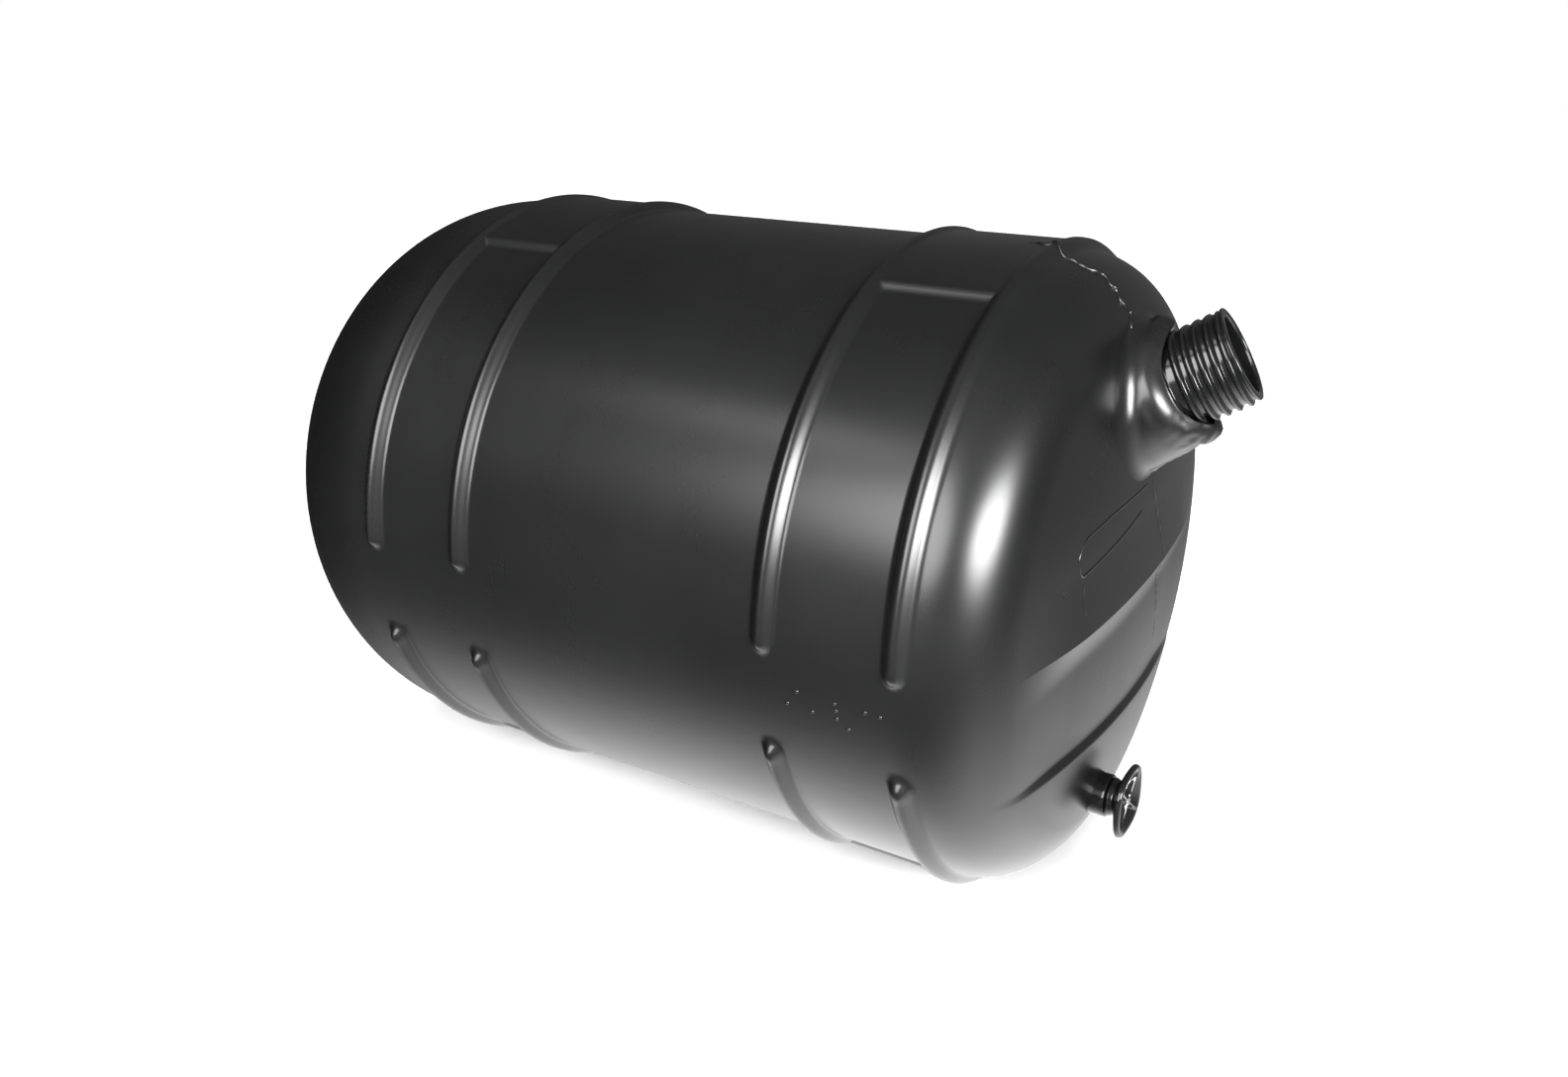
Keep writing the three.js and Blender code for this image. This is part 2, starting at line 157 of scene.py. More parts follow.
# ---- The shell's surface ----
def end_profile(end, crown_points, knuckle_points):
    """(x, r, normal x, normal r) from the pole to the barrel."""
    apex, knuckle, crown, side = end["apex"], end["knuckle"], end["crown"], end["side"]
    reach = math.sqrt((crown - knuckle) ** 2 - (RADIUS - knuckle) ** 2)
    meet = math.atan2(RADIUS - knuckle, reach)
    on_crown = np.linspace(0, meet, crown_points + 1)[1:]
    on_knuckle = np.linspace(meet, math.pi / 2, knuckle_points + 1)[1:]
    crown_x = apex - side * crown
    angle = np.concatenate([on_crown, on_knuckle])
    x = np.where(
        angle <= meet,
        crown_x + side * crown * np.cos(angle),
        crown_x + side * (reach + knuckle * np.cos(angle)),
    )
    r = np.where(
        angle <= meet, crown * np.sin(angle), RADIUS - knuckle + knuckle * np.sin(angle)
    )
    return np.stack([x, r, side * np.cos(angle), np.sin(angle)], 1)


def front_x(r):
    """How far along X the plain front end reaches at radius r."""
    apex, knuckle, crown = FRONT_END["apex"], FRONT_END["knuckle"], FRONT_END["crown"]
    reach = math.sqrt((crown - knuckle) ** 2 - (RADIUS - knuckle) ** 2)
    on_crown = apex - crown + np.sqrt(crown**2 - np.minimum(r, RADIUS) ** 2)
    out = np.clip(r - (RADIUS - knuckle), 0, knuckle)
    on_knuckle = apex - crown + reach + np.sqrt(knuckle**2 - out**2)
    return np.where(r < crown * (RADIUS - knuckle) / (crown - knuckle), on_crown, on_knuckle)


def rib_height(x, theta):
    """The ring ribs, rounded across and at their ends. theta is in degrees from the top."""
    height = np.zeros_like(x)
    into_gap = np.minimum(theta - RIB_GAP[0], RIB_GAP[1] - theta)
    past_end = np.maximum(0, np.radians(into_gap) * RADIUS + RIB_HALF_WIDTH * 0.6)
    for band in BANDS:
        for centre in band:
            away = np.hypot(x - centre, past_end) / RIB_HALF_WIDTH
            profile = np.cos(np.clip(away, 0, 1) * math.pi / 2) ** 1.6
            height = np.maximum(height, RIB_HEIGHT * profile)
            knob = np.hypot(x - centre, np.radians(theta - RIB_GAP[1] - 1.6) * RADIUS) / (7 * MM)
            height = height + 1.1 * MM * np.exp(-(knob**2) * 2)
    return height


def pad_height(x, theta):
    """The raised pads between a band's ribs, on top and underneath."""
    from_pole = np.minimum(theta, 180 - theta)
    height = np.zeros_like(x)
    for low, high in BANDS:
        across = smoothstep(low - 8 * MM, low, x) * (1 - smoothstep(high, high + 8 * MM, x))
        round_it = 1 - smoothstep(PAD_HALF_ANGLE - 1.1, PAD_HALF_ANGLE + 1.1, from_pole)
        height = np.maximum(height, PAD_HEIGHT * across * round_it)
    return height


def step_lines(y):
    """The heights of the step's crease and foot at y, from the axis."""
    return STEP["top"] + STEP["top_slope"] * y, STEP["foot"] + STEP["foot_slope"] * y


def step_out(y, z):
    """The step across the front end: how far it stands out along X at (y, z from the axis)."""
    top, foot = step_lines(y)
    fade = 1 - smoothstep(80 * MM, STEP["reach"], np.abs(y))
    swell = STEP_SWELL * np.clip(1 - (z - top) / STEP_RISE, 0, 1) ** 1.6
    left = np.clip(1 - (top - z) / STEP_LEDGE, 0, 1)
    facet = (STEP_SWELL + STEP_RECESS) * left**1.7 - STEP_RECESS
    groove = -STEP_RECESS * np.clip(1 - (foot - z) / STEP_GROOVE, 0, 1)
    return fade * np.where(z > top, swell, np.where(z > foot, facet, groove))


STEP_ABOVE, STEP_BELOW = 46 * MM, 14 * MM  # how far the step's own grid runs past its crease and foot


def inside_step(y, z):
    """How far (y, z) is inside the edges of the step's own grid."""
    top, foot = step_lines(y)
    upright = np.minimum(top + STEP_ABOVE - z, z - foot + STEP_BELOW)
    return np.minimum(STEP["reach"] - np.abs(y), upright)


def end_step():
    """The step's own grid, whose rows follow its crease and its foot. Its edges lie just under the end."""
    columns = np.linspace(-STEP["reach"], STEP["reach"], 161)
    near_crease = np.array([4, 2.6, 1.4, 0.6, 0.2, 0]) * MM
    above = np.concatenate([np.linspace(1, 0.12, 16) * STEP_ABOVE, near_crease])
    ledge = np.array([0.25, 0.7, 1.3, 2, 3, 4.2, 5.6, 7.2, 9, 11.5, 14, 17, 20, 23]) * MM
    below = np.array([0.3, 1.2, 2.4, 3.6, 4.7, 5.4, 7, 9, 11, 14]) * MM
    points = []
    for y in columns:
        top, foot = step_lines(y)
        facet = np.linspace(top - 27 * MM, foot + 0.3 * MM, 16)
        for z in np.concatenate([top + above, top - ledge, facet, foot - below]):
            x = float(front_x(math.hypot(y, z)) + step_out(y, z)) - 0.03 * MM
            points.append((x, y, z + AXIS_Z))
    return points, grid_faces(len(columns), len(points) // len(columns), wrap=False, flip=True)


def shell_outside():
    """The barrel with its ends, ribs, pads, flats and end step, as a grid round the X axis."""
    rear = end_profile(REAR_END, 34, 44)
    front = end_profile(FRONT_END, 62, 34)[::-1]
    start, end = rear[-1, 0], front[0, 0]
    near_ribs = np.concatenate(
        [c + np.linspace(-9.5, 9.5, 20) * MM for band in BANDS for c in band]
    )
    between = np.arange(start + 5 * MM, end, 7 * MM)
    far = [x for x in between if np.min(np.abs(near_ribs - x)) > 3 * MM]
    middle = np.sort(np.concatenate([near_ribs[near_ribs < end - 0.5 * MM], far]))
    barrel = np.stack(
        [middle, np.full_like(middle, RADIUS), np.zeros_like(middle), np.ones_like(middle)], 1
    )
    profile = np.concatenate([rear, barrel, front])

    fine = [(0, 14, 0.7), (22, 32, 0.5), (86, 97, 0.6), (105, 116, 0.6), (148, 158, 0.5)]
    half = set(np.arange(0, 180.1, 1.5).round(2))
    for low, high, step in fine:
        half |= set(np.arange(low, high, step).round(2))
    half = np.array(sorted(half))
    half = half[np.concatenate([[True], np.diff(half) > 0.3])]
    theta = np.concatenate([half, half[1:-1][::-1]])
    side = np.concatenate([-np.ones(len(half)), np.ones(len(half) - 2)])

    x0, r0, nx, nr = (profile[:, k][:, None] for k in range(4))
    turn = theta[None, :] + 0 * x0
    flat_x = x0 + 0 * turn
    out = np.maximum(rib_height(flat_x, turn), pad_height(flat_x, turn))
    radius = r0 + out * nr
    below_axis = np.radians(np.clip(180 - turn, 0, 89))
    radius = np.minimum(radius, np.where(turn > 91, AXIS_Z / np.cos(below_axis), 1.0))
    x = x0 + out * nx
    y = side * radius * np.sin(np.radians(turn))
    z = radius * np.cos(np.radians(turn))
    x = x + np.where(x0 > 200 * MM, step_out(y, z), 0)
    covered = (x0 > 200 * MM) & (inside_step(y, z) > 4 * MM)
    z = z + AXIS_Z
    points = np.stack([x, y, z], 2)
    rows, columns = points.shape[:2]
    covered = covered.ravel()
    faces = [face for face in grid_faces(rows, columns) if not covered[list(face)].all()]
    rear_pole = rows * columns
    faces += [(rear_pole, (j + 1) % columns, j) for j in range(columns)]
    return np.concatenate([points.reshape(-1, 3), [[REAR_END["apex"], 0, AXIS_Z]]]), faces


def front_point(y, z):
    """A point of the front end's outside at y and z (from the axis)."""
    return Vector((float(front_x(math.hypot(y, z)) + step_out(y, z)), y, z + AXIS_Z))


# ---- The neck's collar ----
NECK_ALONG = Vector((NECK_COS, math.cos(NECK_TILT) * math.sin(NECK_TURN), math.sin(NECK_TILT)))
NECK_SIDE = Vector((-math.sin(NECK_TURN), math.cos(NECK_TURN), 0))
NECK_UP = NECK_ALONG.cross(NECK_SIDE)


def on_neck(angle, along, radius):
    """A point round the neck: angle is from its upper side, towards +Y."""
    around = NECK_UP * math.cos(angle) + NECK_SIDE * math.sin(angle)
    return NECK_BASE + NECK_ALONG * along + around * radius


def in_mould_plane(angle):
    """1 on the collar's upper and lower sides, where the mould's halves meet, and 0 on its flanks."""
    return abs(math.cos(angle)) ** 3


def collar_reach(angle):
    """How far along the neck the collar reaches."""
    further = COLLAR["mould_plane"] - COLLAR["side"]
    return (COLLAR["side"] + further * in_mould_plane(angle)) * MM


def collar_radius(angle, along):
    """The collar's radius: it closes in at its rim, and bulges twice on its flanks."""
    below_rim = (collar_reach(angle) - along) / MM
    level = min(1.0, max(0.0, below_rim / COLLAR["round"]))
    radius = COLLAR["rim"] + 3 * in_mould_plane(angle) * (1 - level)
    radius += COLLAR["bulge"] * (1 - (1 - level) ** 2.2)
    radius += COLLAR["taper"] * max(0.0, below_rim - COLLAR["round"])
    flank = math.sin(angle) ** 2
    for centre, height in COLLAR_RINGS:
        radius += height * flank * math.exp(-((along / MM - centre) / 3.6) ** 2)
    return radius * MM


def flash_on(angle, along):
    """How far the moulding flash stands out of the collar: along its upper and its lower side."""
    lower = math.exp(-((angle - math.pi) / math.radians(5)) ** 2)
    upper = math.exp(-(math.remainder(angle, 2 * math.pi) / math.radians(6)) ** 2)
    ragged = 0.6 + 0.9 * noise.noise(Vector((along * 220, 3 * math.cos(angle), 1)))
    near_shell = 1 - float(smoothstep(-30 * MM, 0, along))
    return (lower * (1.2 + 3.2 * near_shell) + upper * 2.2) * ragged * MM


def lumpiness(angle):
    """How rough the collar's rim is: roughest underneath and on top."""
    under = math.exp(-((angle - math.radians(190)) / math.radians(40)) ** 2)
    return under + 0.8 * math.exp(-(math.remainder(angle + 0.2, 2 * math.pi) / math.radians(28)) ** 2)


def collar():
    """The shell's collar round the neck with a fillet onto the end, as one strip from shell to thread."""
    columns, fillet_rows = 192, 9
    rows = []
    angles = [2 * math.pi * j / columns for j in range(columns)]

    def height_over_shell(angle, along):
        p = on_neck(angle, along, collar_radius(angle, along))
        r = math.hypot(p.y, p.z - AXIS_Z)
        return p.x - float(front_x(r) + step_out(p.y, p.z - AXIS_Z))

    feet, tops, corners = [], [], []
    for angle in angles:
        low, high = COLLAR_FEET
        for _ in range(28):
            middle = (low + high) / 2
            low, high = (low, middle) if height_over_shell(angle, middle) > 0 else (middle, high)
        size = (5.5 + 5.0 * abs(math.sin(angle)) + 2 * math.cos(angle)) * MM
        corner = on_neck(angle, high, collar_radius(angle, high))
        sideways = Vector((0, math.sin(angle), math.cos(angle) * math.cos(NECK_TILT))).normalized()
        foot = front_point(*(corner + sideways * size * 1.5).yz - Vector((0, AXIS_Z)))
        feet.append(foot - Vector((0.0004, 0, 0)))
        corners.append(corner)
        tops.append(min(high + size, collar_reach(angle) - 4 * MM))
    for i in range(fillet_rows):
        t = i / (fillet_rows - 1)
        row = []
        for angle, foot, corner, top in zip(angles, feet, corners, tops):
            end = on_neck(angle, top, collar_radius(angle, top) + flash_on(angle, top))
            row.append(foot * (1 - t) ** 2 + corner * 2 * t * (1 - t) + end * t**2)
        rows.append(row)
    for t in np.linspace(0, 1, 22)[1:]:
        row = []
        for angle, top in zip(angles, tops):
            along = top + (collar_reach(angle) - top) * t
            at = on_neck(angle, along, collar_radius(angle, along))
            lump = lumpiness(angle) * float(smoothstep(0.3, 0.8, t)) * 2.2 * MM * noise.noise(at * 170)
            row.append(on_neck(angle, along, collar_radius(angle, along) + flash_on(angle, along) + lump))
        rows.append(row)
    for share, along in [(0.7, 0.4), (0.35, 0.3), (0.1, -0.4), (0, -3)]:
        row = []
        for angle in angles:
            reach = collar_reach(angle)
            radius = NECK_HOLE * MM + (collar_radius(angle, reach) - NECK_HOLE * MM) * share
            rise = lumpiness(angle) * 0.7 * MM * noise.noise(on_neck(angle, 0, radius) * 160)
            row.append(on_neck(angle, reach + along * MM + rise, radius))
        rows.append(row)
    points = [p for row in rows for p in row]
    return points, grid_faces(len(rows), columns, flip=True)


# ---- Lines and flash on the shell ----
def ridge_on(path, normals, width, heights):
    """A low ridge of mesh along a path on the shell, rounded across."""
    across_steps = 5
    rows = []
    for i, (p, n) in enumerate(zip(path, normals)):
        before, after = path[max(0, i - 1)], path[min(len(path) - 1, i + 1)]
        sideways = (after - before).cross(n).normalized()
        row = []
        for k in range(across_steps):
            a = math.pi * k / (across_steps - 1)
            lift = heights[i] * math.sin(a) - 0.25 * MM
            row.append(p + sideways * (width / 2 * math.cos(a)) + n * lift)
        rows.append(row)
    points = [p for row in rows for p in row]
    return points, grid_faces(len(rows), across_steps, wrap=False)


def front_normal(y, z):
    """The outward normal of the front end at y and z (from the axis)."""
    step = 0.5 * MM
    along_y = front_point(y + step, z) - front_point(y - step, z)
    along_z = front_point(y, z + step) - front_point(y, z - step)
    return along_y.cross(along_z).normalized()


def front_line(corners, width, height, seed=0.0, ragged=0.0):
    """A ridge over the front end through (y, z) corners, with softened corners."""
    dense = []
    for (y0, z0), (y1, z1) in zip(corners, corners[1:]):
        steps = max(2, int(math.hypot(y1 - y0, z1 - z0) / (1.5 * MM)))
        dense += [(y0 + (y1 - y0) * i / steps, z0 + (z1 - z0) * i / steps) for i in range(steps)]
    dense.append(corners[-1])
    smooth = np.array(dense)
    for _ in range(6):
        smooth[1:-1] = (smooth[:-2] + 2 * smooth[1:-1] + smooth[2:]) / 4
    path = [front_point(y, z) for y, z in smooth]
    normals = [front_normal(y, z) for y, z in smooth]
    count = len(path)
    heights = []
    for i, p in enumerate(path):
        run_out = min(1, i / 4, (count - 1 - i) / 4)
        heights.append(height * run_out * (1 + ragged * noise.noise(p * 300 + Vector((seed, 0, 0)))))
    return ridge_on(path, normals, width, heights)


def mould_lines():
    """The parting line down the front end and the raised outline of a blank label panel."""
    parting = [(8, 68), (25, 38), (65, -40), (74, -66)]
    panel = [(2, 66), (-56, 60), (-90, 54), (-99, 44), (-94, 32), (-46, 42), (-6, 52)]
    side_edge = [(-90, 31), (-91, 18), (-87, 6)]
    lines = [
        front_line([(y * MM, z * MM) for y, z in panel], 1.8 * MM, 0.75 * MM),
        front_line([(y * MM, z * MM) for y, z in side_edge], 1.6 * MM, 0.55 * MM),
        front_line([(y * MM, z * MM) for y, z in parting[:3]], 1.8 * MM, 0.8 * MM, 1, 0.5),
        front_line([(y * MM, z * MM) for y, z in parting[2:]], 1.2 * MM, 0.4 * MM, 2, 0.5),
    ]
    return lines


def top_flash():
    """The ragged flash of the parting line, over the last rib and the front knuckle to the neck."""
    path, normals, heights = [], [], []
    stations = [tuple(row) for row in end_profile(FRONT_END, 40, 40) if row[1] > 156 * MM]
    stations += [(x, RADIUS, 0.0, 1.0) for x in np.linspace(210, 196, 8) * MM]
    for i, (x, r, nx, nr) in enumerate(stations):
        wander = 6.5 + 2.2 * noise.noise(Vector((i * 0.21, 0.4, 0)))
        theta = np.array([wander])
        lift = float(np.maximum(rib_height(np.array([x]), theta), pad_height(np.array([x]), theta))[0])
        turn = math.radians(wander)
        normal = Vector((nx, -nr * math.sin(turn), nr * math.cos(turn)))
        base = Vector((x, -r * math.sin(turn), r * math.cos(turn) + AXIS_Z)) + normal * lift
        path.append(base)
        normals.append(normal)
        jag = 0.9 + 1.1 * noise.noise(Vector((i * 0.55, 7.1, 3)))
        heights.append(max(0.15, jag) * 1.5 * MM * min(1, i / 3, (len(stations) - 1 - i) / 3))
    points, faces = ridge_on(path, normals, 2.0 * MM, heights)
    return [(p.x, p.y, min(p.z, cad_box[1][2] - 0.1 * MM)) for p in points], faces


def moulding_pips():
    """A scatter of tiny moulding pips on the barrel, just under the gap in the front pair of ribs."""
    rng = np.random.default_rng(11)
    columns = 12
    made = []
    for _ in range(9):
        turn = math.radians(rng.uniform(98, 103))
        normal = Vector((0, -math.sin(turn), math.cos(turn)))
        along, across = Vector((1, 0, 0)), normal.cross(Vector((1, 0, 0)))
        centre = Vector((rng.uniform(146, 211) * MM, 0, AXIS_Z)) + normal * RADIUS
        rows = []
        for width, lift in [(1.3, -0.1), (1.1, 0.35), (0.7, 0.7), (0.1, 0.85)]:
            around = [2 * math.pi * j / columns for j in range(columns)]
            rows.append([
                centre + (along * math.cos(a) + across * math.sin(a)) * width * MM + normal * lift * MM
                for a in around
            ])
        made.append(([p for row in rows for p in row], grid_faces(len(rows), columns)))
    return made


# ---- Filler neck ----
def thread_height(angle, along):
    """The neck's thread: a rounded ridge wound round it, worn low where the mould halves meet."""
    start = NECK_SHOULDER + 3.6 * MM
    turns = (along - start) / NECK_PITCH - angle / (2 * math.pi)
    runs_out = smoothstep(NECK_TURNS - 0.9, NECK_TURNS - 0.55, turns)
    inside = float(smoothstep(-0.62, -0.3, turns) * (1 - runs_out))
    phase = turns - round(turns)
    ridge = math.exp(-((phase / 0.24) ** 4))
    at_top = math.exp(-(math.remainder(angle, 2 * math.pi) / math.radians(20)) ** 2)
    at_foot = math.exp(-(math.remainder(angle - math.pi, 2 * math.pi) / math.radians(7)) ** 2)
    return (NECK_CREST - NECK_ROOT) * ridge * inside * (1 - 0.6 * at_top - 0.25 * at_foot)


def neck_tube():
    columns = 176
    outside = np.concatenate([[2, 9, 15], np.linspace(16.8, 55.6, 130)]) * MM
    rows = []
    for along in outside:
        row = []
        for j in range(columns):
            angle = 2 * math.pi * j / columns
            radius = NECK_ROOT + thread_height(angle, along)
            shoulder = 1 - float(smoothstep(NECK_SHOULDER, NECK_SHOULDER + 2 * MM, along))
            radius = max(radius, NECK_ROOT + 2.6 * MM * shoulder)
            row.append(on_neck(angle, along, radius))
        rows.append(row)
    lip = [  # (radius, how far below the lip) in millimetres
        (27.4, 2.4), (28.2, 2.0), (28.6, 1.5), (28.6, 0.7), (28.3, 0.2), (27.7, 0), (24.4, 0),
        (23.8, 0.2), (23.5, 0.7),
    ]
    for radius, below in lip:
        rows.append([
            on_neck(2 * math.pi * j / columns, NECK_LIP - below * MM, radius * MM) for j in range(columns)
        ])
    for along in np.linspace(56, 2, 12):
        rows.append([
            on_neck(2 * math.pi * j / columns, along * MM, NECK_BORE) for j in range(columns)
        ])
    rows.append(rows[0])
    points = [p for row in rows for p in row]
    return points, grid_faces(len(rows), columns, flip=True)


# ---- Drain cock ----
def at_drain(x, radius, angle):
    """A point round the drain's axis: angle is from straight up, towards -Y."""
    return Vector((x, -radius * math.sin(angle), DRAIN_Z + radius * math.cos(angle)))


def turned(profile, columns=96):
    """A surface turned round the drain's axis, through (x, radius) points in millimetres."""
    rows = [
        [at_drain(x * MM, r * MM, 2 * math.pi * j / columns) for j in range(columns)] for x, r in profile
    ]
    points = [p for row in rows for p in row]
    return points, grid_faces(len(rows), columns)


HANDLE_LEAN = math.radians(-37)  # the cross is turned this far from upright


def handle_outline(x, angle):
    """The handle's radius: a waist, then a flare to a slightly four-lobed rim. x in millimetres."""
    hub = 13 - 1.6 * math.sin(math.pi * (x - 277) / 12)
    lobe = 0.5 + 0.5 * math.cos(4 * (angle - HANDLE_LEAN))
    tip = hub + (HANDLE_RADIUS / MM - hub) * (0.84 + 0.16 * lobe)
    flare = float(smoothstep(280.0, 286.8, x)) ** 1.25
    return hub + (tip - hub) * flare


def drain_handle():
    columns = 200
    rows = []

    def ring(x, scale=1.0, dish=0.0, inset=0.0):
        row = []
        for j in range(columns):
            angle = 2 * math.pi * j / columns
            radius = (handle_outline(min(x, 287.0), angle) - inset) * scale
            off_rib = abs(math.sin(2 * (angle - HANDLE_LEAN))) * radius / 2
            rib = math.exp(-((off_rib / 1.5) ** 2))
            depth = dish * (1 - rib) if dish else 0.0
            row.append(at_drain((x - depth) * MM, radius * MM, angle))
        return row

    for x in np.linspace(277, 287, 28):
        rows.append(ring(x, inset=0.4 if x == 277 else 0.0))
    for x, inset in [(287.8, 0.05), (288.6, 0.3), (289.2, 0.8), (289.5, 1.5)]:
        rows.append(ring(x, inset=inset))
    for scale in np.linspace(0.93, 0.1, 30):
        deep = 4.6 * float(smoothstep(0.97, 0.45, scale))
        hub_rise = 2.2 * float(smoothstep(0.3, 0.2, scale))
        rows.append(ring(289.5 - 0.9 * float(smoothstep(0.95, 0.3, scale)), scale, deep - hub_rise, 1.5))
    points = [p for row in rows for p in row]
    faces = grid_faces(len(rows), columns)
    last = (len(rows) - 1) * columns
    faces.append(tuple(last + j for j in range(columns)))
    faces.append(tuple(range(columns))[::-1])
    return points, faces


def drain_stub():
    """The valve body's stub, whose foot follows the shell, and the turned spigot inside it."""
    columns = 96
    rows = []
    for t in np.linspace(0, 1, 6):
        row = []
        for j in range(columns):
            angle = 2 * math.pi * j / columns
            foot = at_drain(0, STUB_RADIUS, angle)
            foot_x = float(front_x(math.hypot(foot.y, foot.z - AXIS_Z))) - 0.4 * MM
            row.append(at_drain(foot_x + (275 * MM - foot_x) * t, STUB_RADIUS, angle))
        rows.append(row)
    for x, r in [(275.6, 13.8), (275.9, 13.5), (276, 13), (276, 8.2), (279.4, 8), (279.6, 5.4), (252, 5.2)]:
        rows.append([at_drain(x * MM, r * MM, 2 * math.pi * j / columns) for j in range(columns)])
    spigot = turned([
        (252, 3), (248, 3), (248, 8.2), (249.2, 9.2), (262.8, 9.2), (262.8, 12.6), (266, 12.6),
    ])
    stub = [p for row in rows for p in row], grid_faces(len(rows), columns)
    return [stub, spigot]


# ---- Materials ----
class Nodes:
    """A short way to build one material's node tree."""

    def __init__(self, name):
        self.material = bpy.data.materials.new(name)
        self.material.use_nodes = True
        self.tree = self.material.node_tree
        self.shader = self.tree.nodes["Principled BSDF"]
        self.place = self.node("ShaderNodeTexCoord").outputs["Object"]

    def node(self, kind, **settings):
        made = self.tree.nodes.new(kind)
        for key, value in settings.items():
            setattr(made, key, value)
        return made

    def link(self, a, b):
        self.tree.links.new(a, b)

    def noise(self, scale, detail=3.0, rough=0.5, stretch=(1, 1, 1)):
        mapping = self.node("ShaderNodeMapping")
        mapping.inputs["Scale"].default_value = stretch
        self.link(self.place, mapping.inputs["Vector"])
        texture = self.node("ShaderNodeTexNoise")
        texture.inputs["Scale"].default_value = scale
        texture.inputs["Detail"].default_value = detail
        texture.inputs["Roughness"].default_value = rough
        self.link(mapping.outputs["Vector"], texture.inputs["Vector"])
        return texture.outputs["Fac"]

    def ramp(self, value, stops):
        ramp = self.node("ShaderNodeValToRGB")
        elements = ramp.color_ramp.elements
        while len(elements) < len(stops):
            elements.new(0.5)
        for element, (position, colour) in zip(elements, stops):
            element.position = position
            element.color = (*colour, 1) if len(colour) == 3 else colour
        self.link(value, ramp.inputs["Fac"])
        return ramp.outputs["Color"]

    def between(self, value, low, high):
        spread = self.node("ShaderNodeMapRange")
        spread.inputs["To Min"].default_value = low
        spread.inputs["To Max"].default_value = high
        self.link(value, spread.inputs["Value"])
        return spread.outputs["Result"]

    def bump(self, value, strength, distance, after=None):
        bump = self.node("ShaderNodeBump")
        bump.inputs["Strength"].default_value = strength
        bump.inputs["Distance"].default_value = distance
        self.link(value, bump.inputs["Height"])
        if after:
            self.link(after, bump.inputs["Normal"])
        return bump.outputs["Normal"]


def grey(v):
    return (v, v * 1.02, v * 1.03)


def polyethylene(name, dark, light, rough_low, rough_high, texture=1.0):
    """Black moulded polyethylene: faint mottling, an orange-peel skin, and fine scuffs."""
    n = Nodes(name)
    mottle = n.noise(9, 4, 0.55)
    n.link(n.ramp(mottle, [(0.3, grey(dark)), (0.75, grey(light))]), n.shader.inputs["Base Color"])
    smear = n.noise(26, 6, 0.62, stretch=(1, 1, 0.35))
    n.link(n.between(smear, rough_low, rough_high), n.shader.inputs["Roughness"])
    peel = n.bump(n.noise(95, 2, 0.45), 0.10 * texture, 1.2 * MM)
    waves = n.bump(n.noise(7, 2, 0.4), 0.10 * texture, 5 * MM, after=peel)
    fine = n.bump(n.noise(900, 3, 0.6), 0.05 * texture, 0.25 * MM, after=waves)
    n.link(fine, n.shader.inputs["Normal"])
    n.shader.inputs["IOR"].default_value = 1.5
    return n.material


def metal(name, colour, dark, roughness):
    n = Nodes(name)
    turned_marks = n.noise(60, 3, 0.5, stretch=(6, 1, 1))
    n.link(n.ramp(turned_marks, [(0.3, dark), (0.7, colour)]), n.shader.inputs["Base Color"])
    n.link(n.between(n.noise(300, 2), roughness - 0.08, roughness + 0.1), n.shader.inputs["Roughness"])
    n.shader.inputs["Metallic"].default_value = 1.0
    return n.material


def rubber(name):
    n = Nodes(name)
    n.link(n.ramp(n.noise(120, 3), [(0.3, grey(0.012)), (0.7, grey(0.022))]), n.shader.inputs["Base Color"])
    n.link(n.between(n.noise(400, 2), 0.7, 0.9), n.shader.inputs["Roughness"])
    n.link(n.bump(n.noise(1500, 2), 0.2, 0.1 * MM), n.shader.inputs["Normal"])
    return n.material


shell_black = polyethylene("shell_black", 0.003, 0.005, 0.25, 0.31, texture=0.08)
neck_black = polyethylene("neck_black", 0.003, 0.006, 0.13, 0.2, texture=0.3)
valve_black = polyethylene("valve_black", 0.004, 0.007, 0.1, 0.16, texture=0.3)
seal_rubber = rubber("seal_rubber")
brass = metal("brass", (0.71, 0.52, 0.22), (0.55, 0.38, 0.15), 0.28)
steel = metal("steel", (0.62, 0.63, 0.65), (0.5, 0.51, 0.53), 0.25)

# ---- The object ----
shell = mesh_piece(
    "tank_shell_moulding",
    [shell_outside(), end_step(), collar(), top_flash(), *mould_lines(), *moulding_pips()],
    shell_black,
    "tank",
)
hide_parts("tank_shell")

neck = mesh_piece("filler_neck_thread", [neck_tube()], neck_black, "tank")
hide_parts("filler_neck")

stub = mesh_piece("drain_valve_stub", drain_stub(), valve_black, "tank")
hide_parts("drain_valve_body")

handle = mesh_piece("drain_cross_handle", [drain_handle()], valve_black, "handle")
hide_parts("drain_handle")

CAD_LOOKS = {
    "drain_insert": brass,
    "drain_body_seal": seal_rubber,
    "drain_seat_washer": seal_rubber,
    "drain_jumper": brass,
    "drain_spindle": brass,
    "spindle_o_ring": seal_rubber,
    "handle_screw": steel,
}
for node, look in CAD_LOOKS.items():
    materials = frame["nodes"][node].data.materials
    materials.clear()
    materials.append(look)


# ---- Floor, light and camera ----
FLOOR_HALF = 40.0


def floor():
    """A wide square of pale floor. The tank doesn't mirror it, so that its gloss stays dark."""
    mesh = bpy.data.meshes.new("floor")
    corners = [(-1, -1), (1, -1), (1, 1), (-1, 1)]
    mesh.from_pydata([(x * FLOOR_HALF, y * FLOOR_HALF, 0.0) for x, y in corners], [], [(0, 1, 2, 3)])
    made = bpy.data.objects.new("floor", mesh)
    bpy.context.scene.collection.objects.link(made)
    made.data.materials.append(floor_paper)
    made.visible_glossy = False


